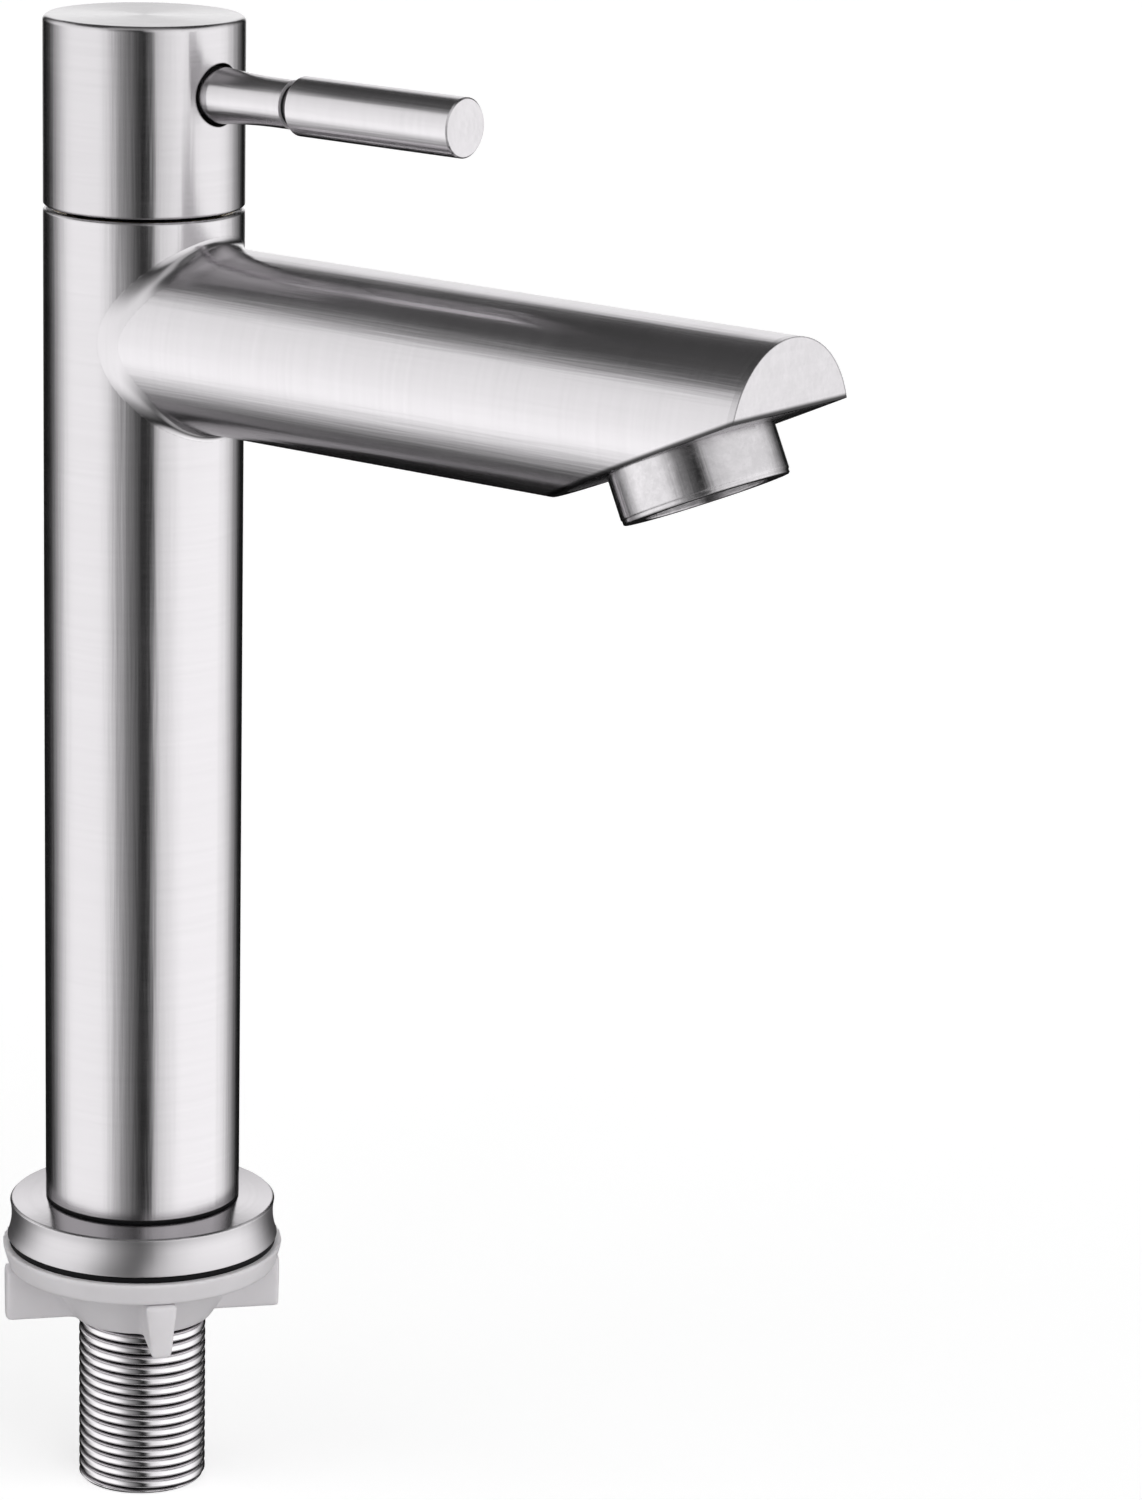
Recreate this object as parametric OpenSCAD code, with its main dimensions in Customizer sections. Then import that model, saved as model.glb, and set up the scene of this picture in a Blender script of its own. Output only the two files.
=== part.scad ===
// Single-lever basin tap with one inlet and a quarter-turn ceramic disc headwork.
// The origin is on the column's axis at the deck, +Z is up and the spout points along +X.

/* [Column] */
// Outside diameter of the column
column_d = 31.8; // [30.6:0.1:38]
// Wall of the column tube
column_wall = 1.2; // [0.8:0.1:1.6]
// Length of the column tube
column_h = 163.6; // [130:0.1:220]
// Width of the small bevel round the column's top edge
column_bevel = 0.3; // [0.1:0.05:0.6]
// Height of the disc welded into the column's foot
plug_h = 9; // [6:0.1:14]
// Thickness of the lip that stops the shank in that disc
plug_lip_t = 2; // [1:0.1:4]
// Radial width of that lip
plug_lip_w = 2; // [1:0.1:2.8]

/* [Base] */
// Thickness of the base flange
flange_h = 6.5; // [4:0.1:10]
// Rise of the flange's top from its rim to the column
flange_rise = 0.6; // [0.1:0.05:1.5]
// Diameter of the base flange at its top
flange_top_d = 43.64; // [42:0.1:60]
// Diameter of the base flange at its foot
flange_foot_d = 44.6; // [42:0.1:60]
// Depth of the waist round the flange's side
flange_waist = 0.5; // [0.1:0.05:0.8]
// Bevel on the flange's edges
flange_bevel = 0.35; // [0.1:0.05:0.8]
// Thickness of the black ring between column and flange
base_seal_t = 0.4; // [0.3:0.1:2]
// How far that ring stays inside the column's outline
base_seal_inset = 0.2; // [0.1:0.05:1]
// Thickness of the deck gasket
gasket_t = 0.9; // [0.8:0.1:4]
// How far the deck gasket stays inside the flange's foot
gasket_inset = 0.4; // [0.1:0.05:2]

/* [Shank and nut] */
// Outside diameter of the threaded shank, G1/2
shank_d = 20.955; // [18:0.005:24]
// Bore of the shank
shank_bore_d = 15; // [10:0.1:16]
// How far the shank reaches below the deck
shank_drop = 41.3; // [39:0.1:80]
// Bevel at the shank's lower end
shank_bevel = 0.5; // [0.4:0.1:1.5]
// Thickness of the white slip washer
washer_t = 3.9; // [2:0.1:6]
// Diameter of the slip washer at its top
washer_top_d = 46.2; // [40:0.1:60]
// Diameter of the slip washer at its foot
washer_foot_d = 44; // [38:0.1:60]
// Height of the wing nut
nut_h = 9; // [6:0.1:11]
// Diameter of the nut's hub at its top
nut_top_d = 34; // [26:0.1:40]
// Diameter of the nut's hub at its foot
nut_foot_d = 22.8; // [22.6:0.1:36]
// Tip-to-tip span of the nut's wings
nut_span = 45.6; // [38:0.1:60]
// Thickness of a wing at its top
wing_t = 5.2; // [2:0.1:6]
// Thickness of a wing at its foot
wing_foot_t = 3.2; // [1.4:0.1:4]
// Number of wings
wing_count = 4; // [2:1:6]
// Turn of the wings from the spout's direction, in degrees
wing_turn = 50; // [0:1:89]

/* [Spout] */
// How much thinner the spout tube is than the column
spout_step = 2.32; // [1.8:0.02:4]
// Wall of the spout tube
spout_wall = 1.2; // [0.8:0.1:1.6]
// Distance from the column's top edge down to the spout's axis
spout_drop = 19.3; // [17.6:0.1:22]
// Distance from the column's axis to the spout's flat end
spout_reach = 125.5; // [100:0.1:200]
// Height above the spout's axis at which the flat end meets the slanting underside
spout_brow = 3.84; // [2:0.02:5]
// Tilt of the slanting underside, in degrees from level
outlet_tilt = 24.2; // [20:0.1:28]
// Thickness of the flat end plate
end_plate_t = 1.2; // [0.8:0.1:3]
// Thickness of the slanting outlet plate
outlet_plate_t = 1.5; // [1:0.1:2.5]
// Distance down the slanting underside from its front edge to the aerator's centre
outlet_inset = 19.5; // [18:0.1:20.4]
// Reach of the ground weld on the column, at the spout's sides
weld_side_w = 2.8; // [1.4:0.1:3.5]
// Reach of the ground weld on the column, above the spout
weld_top_w = 2; // [1.4:0.1:4.2]
// Reach of the ground weld on the column, below the spout
weld_foot_w = 1.6; // [1.4:0.1:4.2]
// Reach of the ground weld along the spout, at its sides and below
weld_lap_w = 2.4; // [1.4:0.1:3.5]
// Reach of the ground weld along the spout's top
weld_brow_w = 4.4; // [1.4:0.1:6]
// How far the weld's crown control stands out of the corner
weld_crown = 0.4; // [0.3:0.05:1]

/* [Aerator] */
// Outside diameter of the aerator's collar
aerator_d = 26; // [24.6:0.1:26.6]
// How far the collar stands below the outlet plate
aerator_h = 7.9; // [5:0.1:12]
// Diameter of the aerator's thread, M24
aerator_thread_d = 24; // [22:0.1:24.2]
// Length of that thread
aerator_thread_l = 5.5; // [4:0.1:6]
// Bore of the collar
aerator_bore_d = 21; // [18:0.1:21.6]
// Inward lip at the collar's mouth, radial width
mouth_lip_w = 0.8; // [0.4:0.1:1.5]
// Inward lip at the collar's mouth, thickness
mouth_lip_t = 0.9; // [0.6:0.1:1.5]
// Step at the collar's lower rim, radial depth
rim_step = 0.15; // [0.1:0.05:0.6]
// Step at the collar's lower rim, height
rim_step_h = 0.7; // [0.6:0.1:2.5]
// Outside diameter of the threaded boss inside the spout
boss_d = 26; // [25.4:0.1:26.4]
// Thickness of the rubber washer above the aerator
aerator_washer_t = 1.8; // [1:0.1:2.5]
// Thickness of the boss's inner lip
boss_lip_t = 1; // [0.6:0.1:2]
// Radial width of the boss's inner lip
boss_lip_w = 1.6; // [1:0.1:2.4]
// Wall of the plastic flow former
insert_wall = 1; // [0.7:0.1:1.5]
// Thickness of the flow former's drilled plate
insert_plate_t = 1.6; // [1:0.1:2.5]
// Diameter of the flow former's jets
jet_d = 1.7; // [1:0.1:2.2]
// Number of jets in the outer ring
jet_count = 14; // [8:1:16]
// Thickness of one mesh disc
mesh_t = 0.4; // [0.3:0.05:0.6]
// Spacing of the mesh wires
mesh_pitch = 1.6; // [1.2:0.1:2.5]
// Width of one mesh wire
mesh_wire = 0.4; // [0.2:0.05:0.6]
// Gap between the two mesh discs
mesh_gap = 0.9; // [0.5:0.1:1.5]

/* [Handle] */
// Height of the handle cap
cap_h = 29.85; // [27:0.05:40]
// Gap between column and cap
cap_gap = 0.5; // [0.3:0.05:1]
// Side wall of the cap
cap_wall = 2.4; // [1.6:0.1:2.6]
// Top wall of the cap
cap_top_t = 2.5; // [1.5:0.1:4]
// Rounding of the cap's top edge
cap_round = 0.8; // [0.2:0.1:1.4]
// Diameter of the boss inside the cap
cap_boss_d = 22; // [20:0.1:23]
// Distance from the cap's top down to the lever's axis
lever_drop = 11.05; // [8:0.05:13]
// Distance from the column's axis to the lever's end
lever_reach = 64.5; // [50:0.1:100]
// Distance from the column's axis to the start of the grip
grip_start = 30.8; // [25:0.1:34]
// Diameter of the grip
grip_d = 9.25; // [8.4:0.05:12]
// Diameter of the groove at the grip's start
groove_d = 6.4; // [6.3:0.05:7.2]
// Length of that groove
groove_l = 0.4; // [0.3:0.1:2]
// Length of the taper from the groove up to the grip
grip_taper_l = 1.6; // [0.8:0.1:3]
// Bevel round the grip's end
grip_bevel = 0.25; // [0.1:0.05:0.8]
// Diameter of the stem where it meets the grip
stem_d = 7.6; // [7.4:0.05:8.2]
// Diameter of the stem where it enters the cap
stem_root_d = 8.8; // [8.4:0.05:9.4]
// Radial gap round the stem where it enters the cap
stem_gap = 0.55; // [0.2:0.05:0.8]
// Diameter of the screw threads at both ends of the stem, M6 and M5
stem_screw_d = 6; // [4:0.1:6]
// Diameter of the threaded spigot inside the grip
spigot_d = 5; // [4:0.1:5.6]
// Length of that spigot
spigot_l = 9; // [6:0.1:14]
// Depth that the stem's shoulder is sunk into the boss
stem_seat = 0.6; // [0.4:0.1:1]

/* [Headwork] */
// How far the valve socket's top lies below the column's top
socket_inset = 0.6; // [0.2:0.1:1]
// Thickness of the seal under the bonnet's flange
bonnet_seal_t = 1; // [0.6:0.1:1.5]
// Diameter of the bonnet's flange
bonnet_flange_d = 24.4; // [23:0.1:25]
// Thickness of the bonnet's flange
bonnet_flange_t = 1.5; // [1:0.1:2]
// Width across the bonnet's hexagon
hex_w = 17; // [16.8:0.1:19]
// Height of the bonnet's hexagon
hex_h = 4.5; // [3.5:0.1:5]
// Diameter of the bonnet's thread, G1/2
bonnet_thread_d = 20.955; // [20:0.005:22]
// Length of that thread below the flange
bonnet_thread_l = 10.5; // [8:0.1:12]
// Diameter of the bonnet's lower sleeve
sleeve_d = 18.6; // [18:0.1:19.4]
// Bore of the lower sleeve
sleeve_bore_d = 16; // [15.6:0.1:16.6]
// Depth of the sleeve's inner shoulder below the bonnet's flange
shoulder_depth = 13.4; // [12.6:0.1:15]
// Width of the two outlet windows in the sleeve
window_w = 10; // [6:0.1:12]
// Thickness of the thrust washer
thrust_t = 0.5; // [0.3:0.1:1]
// Diameter of the spindle's journal
journal_d = 10; // [9.4:0.1:10.4]
// Diameter of the spindle's collar
collar_d = 15; // [13:0.1:15.4]
// Thickness of the spindle's collar
collar_t = 2; // [1.2:0.1:3]
// Diameter of the spindle between collar and foot
neck_d = 7; // [5:0.1:8]
// Length of the spindle between collar and foot
neck_l = 6; // [5:0.1:8]
// Height of the spindle's foot
foot_h = 4.5; // [3:0.1:6]
// Width of the spindle's foot
foot_w = 5.4; // [4:0.1:6]
// Width of the tongue that turns the upper disc
tongue_w = 3; // [2:0.1:3.8]
// Depth of that tongue
tongue_h = 1.4; // [0.8:0.1:1.8]
// Diameter of the O-rings' section
oring_t = 1.4; // [1:0.05:1.6]
// Depth of the first O-ring groove below the bonnet's flange
oring_depth = 1.5; // [1:0.1:3]
// Spacing of the two O-rings
oring_pitch = 5; // [3:0.1:6]
// Thickness of each ceramic disc
disc_t = 3.4; // [2.6:0.1:4]
// Outer radius of the discs' ports
port_r = 6.2; // [5:0.1:6.4]
// Inner radius of the discs' ports
port_inner_r = 2.2; // [1.9:0.1:3]
// Opening angle of each port, in degrees
port_angle = 76; // [50:1:84]
// Width of the fixed disc's two keys
key_w = 3; // [2:0.1:4]
// Height of the rubber seal under the fixed disc
seat_seal_h = 4.5; // [3.5:0.1:6]
// Inner diameter of that seal
seat_seal_bore_d = 11.4; // [10.4:0.1:12]
// How far that seal stands out below the sleeve
seat_seal_proud = 3; // [2:0.1:3.2]
// Diameter of the bore in the valve seat
seat_bore_d = 10; // [8:0.1:10.2]
// Thickness of the wall that carries the valve seat
seat_wall_t = 4; // [2.5:0.1:6]
// Diameter of the chamber round the sleeve
chamber_d = 22; // [21.2:0.1:24]
// Diameter of the port from that chamber into the spout
spout_port_d = 15; // [8:0.1:15.6]

/* [Spindle top] */
// Number of spline teeth
spline_teeth = 20; // [12:1:24]
// Diameter over the spline's teeth
spline_d = 7.8; // [7:0.1:8]
// Height of a spline tooth
spline_depth = 0.35; // [0.2:0.05:0.5]
// Thickness of the stop washer
stop_t = 1.5; // [1:0.1:2]
// Outer diameter of the stop washer's ring
stop_ring_d = 10.6; // [9.6:0.1:10.8]
// Height of the stop crown on the bonnet
crown_h = 2; // [1.2:0.1:2.6]
// Inner diameter of the stop crown
crown_bore_d = 11.4; // [11.4:0.1:12.4]
// Outer diameter of the stop crown
crown_d = 16; // [14.6:0.1:16.6]
// Turn between closed and open, in degrees
turn_angle = 90; // [90:1:120]
// Angle that the stop washer's tab takes up, in degrees
tab_angle = 80; // [40:1:90]
// Thickness of the circlip
clip_t = 0.8; // [0.6:0.1:1.2]
// Outer diameter of the circlip
clip_d = 10.4; // [9:0.1:10.8]
// Depth of the circlip's groove under the spline
clip_groove = 0.5; // [0.3:0.1:0.7]
// Height of the plastic spline bush
bush_h = 6.5; // [5:0.1:8]
// Diameter of the spline bush
bush_d = 12; // [10.6:0.1:12.6]
// Diameter of the grub screw, M5
grub_d = 5; // [3:0.1:5.4]
// Depth of the grub screw's outer end below the cap's surface
grub_recess = 4.3; // [3.6:0.1:6]
// Width across the grub screw's hexagon socket
grub_hex_w = 2.5; // [1.5:0.1:3]
// Depth of that socket
grub_hex_depth = 2.5; // [1.5:0.1:3]

/* [Fits] */
// Radial clearance between pieces that turn in each other
run_fit = 0.05; // [0.02:0.01:0.08]
// End clearance between pieces that turn on each other
turn_gap = 0.05; // [0.02:0.01:0.2]
// Radial clearance between pieces that are screwed, pressed or welded together
seat_fit = 0.03; // [0.01:0.01:0.08]
// Radial clearance of rings that slip over the shank
slip_fit = 0.3; // [0.1:0.05:0.6]
// Clearance of the grub screw's key hole in the cap
key_hole_gap = 0.4; // [0.2:0.1:1]

/* [Hidden] */
$fn = 96;

// Radii
column_r = column_d / 2;
column_bore_r = column_r - column_wall;
shank_r = shank_d / 2;
slip_r = shank_r + slip_fit;
spout_d = column_d - spout_step;
spout_r = spout_d / 2;
spout_bore_r = spout_r - spout_wall;
sleeve_bore_r = sleeve_bore_d / 2;
journal_r = journal_d / 2;
spline_r = spline_d / 2;
spline_root_r = spline_r - spline_depth;
bush_r = bush_d / 2;
boss_r = cap_boss_d / 2;
aerator_thread_r = aerator_thread_d / 2;
aerator_bore_r = aerator_bore_d / 2;

// Heights from the deck up
flange_z = gasket_t;
flange_top_z = flange_z + flange_h + flange_rise;
column_z = flange_top_z + base_seal_t;
column_top_z = column_z + column_h;
shank_top_z = column_z + plug_h - plug_lip_t;
cap_z = column_top_z + cap_gap;
cap_top_z = cap_z + cap_h;
lever_z = cap_top_z - lever_drop;
spout_z = column_top_z - spout_drop;

// Heights of the headwork, from the bonnet's flange down
socket_top_z = column_top_z - socket_inset;
bonnet_z = socket_top_z + bonnet_seal_t;
thread_end_z = bonnet_z - bonnet_thread_l;
shoulder_z = bonnet_z - shoulder_depth;
thrust_top_z = shoulder_z - turn_gap;
collar_top_z = thrust_top_z - thrust_t;
neck_top_z = collar_top_z - collar_t;
foot_top_z = neck_top_z - neck_l;
upper_disc_top_z = foot_top_z - foot_h;
upper_disc_z = upper_disc_top_z - disc_t;
lower_disc_top_z = upper_disc_z - turn_gap;
lower_disc_z = lower_disc_top_z - disc_t;
seat_z = lower_disc_z - seat_seal_h;
sleeve_z = seat_z + seat_seal_proud;
socket_z = seat_z - seat_wall_t;

// Heights of the headwork, from the bonnet's flange up
hex_z = bonnet_z + bonnet_flange_t;
hex_top_z = hex_z + hex_h;
stop_z = hex_top_z + turn_gap;
clip_z = stop_z + stop_t;
bush_z = clip_z + clip_t;
bush_top_z = bush_z + bush_h;
spline_top_z = bush_top_z - bush_h / 8;
boss_z = max(bush_z, hex_top_z + crown_h + cap_gap);

// The slanting outlet plane
outlet_x = spout_reach - outlet_inset * cos(outlet_tilt);
outlet_z = spout_z + spout_brow - outlet_inset * sin(outlet_tilt);
far = spout_reach + column_h;

// A tube standing on z
module ring(outer, inner, z, h) {
    translate([0, 0, z]) difference() {
        cylinder(r = outer, h = h);
        translate([0, 0, -1]) cylinder(r = inner, h = h + 2);
    }
}

// A rod standing on z
module rod(r, z, h) {
    translate([0, 0, z]) cylinder(r = r, h = h);
}

// A rod along X
module cross_rod(r, x, z, l) {
    translate([x, 0, z]) rotate([0, 90, 0]) cylinder(r = r, h = l);
}

// Places its children at the aerator, where local +Z points out of the outlet plane
module at_outlet() {
    translate([outlet_x, 0, outlet_z]) rotate([0, 180 - outlet_tilt, 0]) children();
}

// A slab along the outlet plane, between two local heights
module outlet_slab(low, high) {
    at_outlet() translate([-far, -far, low]) cube([2 * far, 2 * far, high - low]);
}

// A pie-shaped sector standing on z, from angle a to angle b
module sector(r, a, b, z, h) {
    mid = (a + b) / 2;
    reach = r / cos((b - a) / 4);
    translate([0, 0, z]) linear_extrude(h)
        polygon([
            [0, 0],
            reach * [cos(a), sin(a)],
            reach * [cos((a + mid) / 2), sin((a + mid) / 2)],
            reach * [cos(mid), sin(mid)],
            reach * [cos((mid + b) / 2), sin((mid + b) / 2)],
            reach * [cos(b), sin(b)]
        ]);
}

// A part of a ring between two angles
module ring_sector(outer, inner, a, b, z, h) {
    intersection() {
        ring(outer, inner, z, h);
        sector(outer + 1, a, b, z, h);
    }
}

module column_tube() {
    color("silver") difference() {
        translate([0, 0, column_z]) rotate_extrude() polygon([
            [column_bore_r, 0],
            [column_r, 0],
            [column_r, column_h - column_bevel],
            [column_r - column_bevel, column_h],
            [column_bore_r, column_h]
        ]);
        cross_rod(spout_bore_r, 0, spout_z, column_d);
    }
}

module base_plug() {
    color("gainsboro") {
        difference() {
            rod(column_bore_r - seat_fit, column_z, plug_h);
            rod(shank_r + seat_fit, column_z - 1, plug_h - plug_lip_t + 1);
            rod(shank_r - plug_lip_w, column_z, plug_h + 1);
        }
    }
}

module base_seal() {
    color("black") ring(column_r - base_seal_inset, slip_r, flange_top_z, base_seal_t);
}

// The flange's side is a shallow hollow arc between its foot and its top
module base_flange() {
    foot_r = flange_foot_d / 2;
    top_r = flange_top_d / 2;
    side_lean = atan2(foot_r - top_r, flange_h);
    chord = flange_h / cos(side_lean);
    waist_r = (chord * chord / 4 + flange_waist * flange_waist) / (2 * flange_waist);
    color("silver") translate([0, 0, flange_z]) rotate_extrude() difference() {
        polygon([
            [slip_r, 0],
            [foot_r - flange_bevel, 0],
            [foot_r, flange_bevel],
            [top_r, flange_h - flange_bevel],
            [top_r - flange_bevel, flange_h],
            [column_r, flange_h + flange_rise],
            [slip_r, flange_h + flange_rise]
        ]);
        translate([(foot_r + top_r) / 2, flange_h / 2]) rotate(side_lean)
            translate([waist_r - flange_waist, 0]) circle(r = waist_r);
    }
}

module deck_gasket() {
    color("black") ring(flange_foot_d / 2 - gasket_inset, slip_r, 0, gasket_t);
}

module threaded_shank() {
    color("silver") translate([0, 0, -shank_drop]) rotate_extrude() polygon([
        [shank_bore_d / 2, 0],
        [shank_r - shank_bevel, 0],
        [shank_r, shank_bevel],
        [shank_r, shank_drop + shank_top_z],
        [shank_bore_d / 2, shank_drop + shank_top_z]
    ]);
}

module slip_washer() {
    color("white") translate([0, 0, -washer_t]) difference() {
        cylinder(d1 = washer_foot_d, d2 = washer_top_d, h = washer_t);
        translate([0, 0, -1]) cylinder(r = slip_r, h = washer_t + 2);
    }
}

// One wing, thicker at its top than at its foot
module wing() {
    rotate([90, 0, 90]) linear_extrude(nut_span / 2) polygon([
        [-wing_foot_t / 2, 0],
        [wing_foot_t / 2, 0],
        [wing_t / 2, nut_h],
        [-wing_t / 2, nut_h]
    ]);
}

module wing_nut() {
    color("white") translate([0, 0, -washer_t - nut_h]) difference() {
        intersection() {
            union() {
                cylinder(d1 = nut_foot_d, d2 = nut_top_d, h = nut_h);
                for (i = [0 : wing_count - 1]) rotate(wing_turn + i * 360 / wing_count) wing();
            }
            cylinder(d = nut_span, h = nut_h);
        }
        translate([0, 0, -1]) cylinder(r = shank_r + run_fit, h = nut_h + 2);
    }
}

// The spout without its bore: a tube cut square at the end and slanting below
module spout_tube() {
    color("silver") difference() {
        cross_rod(spout_r, 0, spout_z, spout_reach - end_plate_t);
        cross_rod(spout_bore_r, -1, spout_z, spout_reach + 2);
        translate([0, 0, spout_z - spout_d]) cylinder(r = column_r, h = 2 * spout_d);
        outlet_slab(0, far);
    }
}

// The ground weld: a band of filler metal along the corner between spout and column
weld_steps = 72;
weld_arc_steps = 6;
weld_sink = 0.1;
weld_root_depth = 0.5;
weld_top_reach = min(weld_top_w, spout_drop - spout_r - column_bevel);

// A reach that goes from side to end as angle a goes from the spout's side to its top or foot
function weld_reach(side, end, a) = side + (end - side) * pow(sin(a), 4);

// The corner between spout and column at angle a round the spout
function weld_corner(a) = [
    sqrt(column_r * column_r - pow(spout_r * cos(a), 2)),
    spout_r * cos(a),
    spout_r * sin(a)
];
function unit(v) = v / norm(v);
function column_normal(p) = unit([p[0], p[1], 0]);
function spout_normal(p) = unit([0, p[1], p[2]]);

// The points where the weld's edges sink into the column and into the spout
function sunk_in_column(p) = let (n = column_normal(p)) [0, 0, p[2]] + (column_r - weld_sink) * n;
function sunk_in_spout(p) = let (n = spout_normal(p)) [p[0], 0, 0] + (spout_r - weld_sink) * n;

// One closed outline of the weld: a crowned arc between its two edges, and its root in the walls
function weld_outline(a) = let (
    p = weld_corner(a),
    nc = column_normal(p),
    ns = spout_normal(p),
    along = unit(cross(nc, ns)),
    out = unit(nc + ns),
    reach_c = weld_reach(weld_side_w, sin(a) > 0 ? weld_top_reach : weld_foot_w, a),
    reach_s = weld_reach(weld_lap_w, sin(a) > 0 ? weld_brow_w : weld_lap_w, a),
    edge_c = sunk_in_column(p + reach_c * cross(along, nc)),
    edge_s = sunk_in_spout(p + reach_s * cross(ns, along)),
    crown = p + weld_crown * out
) concat(
    [for (i = [0 : weld_arc_steps]) let (t = i / weld_arc_steps)
        pow(1 - t, 2) * edge_c + 2 * t * (1 - t) * crown + t * t * edge_s],
    [p - weld_root_depth * out]
);

module weld_sweep() {
    outlines = [for (i = [0 : weld_steps - 1]) weld_outline(i * 360 / weld_steps)];
    n = len(outlines[0]);
    polyhedron(
        points = [for (o = outlines, p = o) p],
        faces = [for (i = [0 : weld_steps - 1], j = [0 : n - 1], k = [0, 1])
            let (a = i * n, b = ((i + 1) % weld_steps) * n, m = (j + 1) % n)
            k == 0 ? [a + j, a + m, b + j] : [a + m, b + m, b + j]]
    );
}

module spout_weld() {
    fine = 360;
    color("silver") difference() {
        translate([0, 0, spout_z]) weld_sweep();
        translate([0, 0, spout_z - spout_d]) cylinder(r = column_r, h = 2 * spout_d, $fn = fine);
        translate([-1, 0, spout_z]) rotate([0, 90, 0]) cylinder(r = spout_r, h = spout_reach, $fn = fine);
    }
}

// The part of the spout's round outline that lies inside the outlet plane
module spout_end_plate() {
    color("silver") difference() {
        cross_rod(spout_r, spout_reach - end_plate_t, spout_z, end_plate_t);
        outlet_slab(0, far);
    }
}

// The plate let into the slanting mouth of the tube, and the boss on its inside
module spout_outlet_plate() {
    boss_l = aerator_thread_l + aerator_washer_t + boss_lip_t;
    inside_l = spout_reach - column_d - end_plate_t - seat_fit;
    color("silver") difference() {
        intersection() {
            cross_rod(spout_bore_r - seat_fit, column_d, spout_z, inside_l);
            union() {
                outlet_slab(-outlet_plate_t, 0);
                at_outlet() translate([0, 0, -boss_l]) cylinder(d = boss_d, h = boss_l);
            }
        }
        at_outlet() translate([0, 0, boss_lip_t - boss_l])
            cylinder(r = aerator_thread_r + seat_fit, h = 2 * boss_l);
        at_outlet() translate([0, 0, -2 * boss_l])
            cylinder(r = aerator_thread_r - boss_lip_w, h = 2 * boss_l);
    }
}

// The collar below the plate and the thread above it
module aerator_housing() {
    r = aerator_d / 2;
    color("silver") at_outlet() rotate_extrude() polygon([
        [aerator_bore_r, -aerator_thread_l],
        [aerator_thread_r, -aerator_thread_l],
        [aerator_thread_r, 0],
        [r, 0],
        [r, aerator_h - rim_step_h - rim_step],
        [r - rim_step, aerator_h - rim_step_h],
        [r - rim_step, aerator_h - rim_step],
        [r - 2 * rim_step, aerator_h],
        [aerator_bore_r - mouth_lip_w, aerator_h],
        [aerator_bore_r - mouth_lip_w, aerator_h - mouth_lip_t],
        [aerator_bore_r, aerator_h - mouth_lip_t]
    ]);
}

module aerator_washer() {
    color("dimgray") at_outlet()
        ring(aerator_thread_r, aerator_bore_r - insert_wall, -aerator_thread_l - aerator_washer_t,
            aerator_washer_t);
}

// Where the mesh discs stop the flow former
mesh_top = aerator_h - mouth_lip_t - 2 * mesh_t - mesh_gap;

module aerator_insert() {
    r = aerator_bore_r - seat_fit;
    color("ghostwhite") at_outlet() difference() {
        union() {
            ring(r, r - insert_wall, -aerator_thread_l, mesh_top + aerator_thread_l);
            rod(r, -aerator_thread_l, insert_plate_t);
        }
        for (turn = [0 : jet_count - 1]) rotate(turn * 360 / jet_count)
            translate([r - insert_wall - jet_d, 0, -aerator_thread_l - 1])
                cylinder(d = jet_d, h = insert_plate_t + 2);
        for (turn = [0 : jet_count / 2 - 1]) rotate(turn * 720 / jet_count)
            translate([r / 2 - jet_d / 2, 0, -aerator_thread_l - 1])
                cylinder(d = jet_d, h = insert_plate_t + 2);
    }
}

// A round frame with square openings in a grid
mesh_r = aerator_bore_r - seat_fit;
mesh_field_r = mesh_r - 2 * mesh_wire;
module mesh_disc(z) {
    steps = floor(mesh_field_r / mesh_pitch);
    translate([0, 0, z]) linear_extrude(mesh_t) difference() {
        circle(r = mesh_r);
        for (i = [-steps : steps], j = [-steps : steps])
            if (norm([abs(i) + 0.5, abs(j) + 0.5]) * mesh_pitch < mesh_field_r)
                translate([i * mesh_pitch, j * mesh_pitch]) square(mesh_pitch - mesh_wire, center = true);
    }
}

// Two mesh discs, turned against each other, and the rim that keeps them apart
module aerator_screens() {
    color("gray") at_outlet() {
        mesh_disc(mesh_top);
        ring(mesh_r, mesh_field_r, mesh_top + mesh_t, mesh_gap);
        rotate(45) mesh_disc(mesh_top + mesh_t + mesh_gap);
    }
}

// The turned insert that carries the valve seat and opens into the spout
module valve_socket() {
    color("gold") difference() {
        rod(column_bore_r - seat_fit, socket_z, socket_top_z - socket_z);
        rod(bonnet_thread_d / 2 + seat_fit, thread_end_z, bonnet_thread_l);
        rod(chamber_d / 2, seat_z, thread_end_z - seat_z);
        rod(seat_bore_d / 2, socket_z - 1, seat_wall_t + 2);
        cross_rod(spout_port_d / 2, 0, spout_z, column_d);
    }
}

module bonnet() {
    color("goldenrod") difference() {
        union() {
            rod(sleeve_d / 2, sleeve_z, thread_end_z - sleeve_z);
            rod(bonnet_thread_d / 2, thread_end_z, bonnet_thread_l);
            rod(bonnet_flange_d / 2, bonnet_z, bonnet_flange_t);
            translate([0, 0, hex_z]) cylinder(d = hex_w / cos(30), h = hex_h, $fn = 6);
            stop_crown();
        }
        rod(journal_r + run_fit, shoulder_z, hex_top_z - shoulder_z + 1);
        rod(sleeve_bore_r, sleeve_z - 1, shoulder_z - sleeve_z + 1);
        translate([-column_r, -window_w / 2, upper_disc_top_z])
            cube([column_d, window_w, neck_top_z - upper_disc_top_z]);
        translate([-column_r, -key_w / 2 - seat_fit, sleeve_z - 1])
            cube([column_d, key_w + 2 * seat_fit, lower_disc_top_z - sleeve_z + 1]);
    }
}

// The crown leaves the stop washer's tab the angle of the turn, from closed to open
stop_slack = 2;
module stop_crown() {
    ring_sector(crown_d / 2, crown_bore_d / 2, tab_angle / 2 + turn_angle + stop_slack,
        360 - tab_angle / 2 - stop_slack, hex_top_z, crown_h);
}

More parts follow.
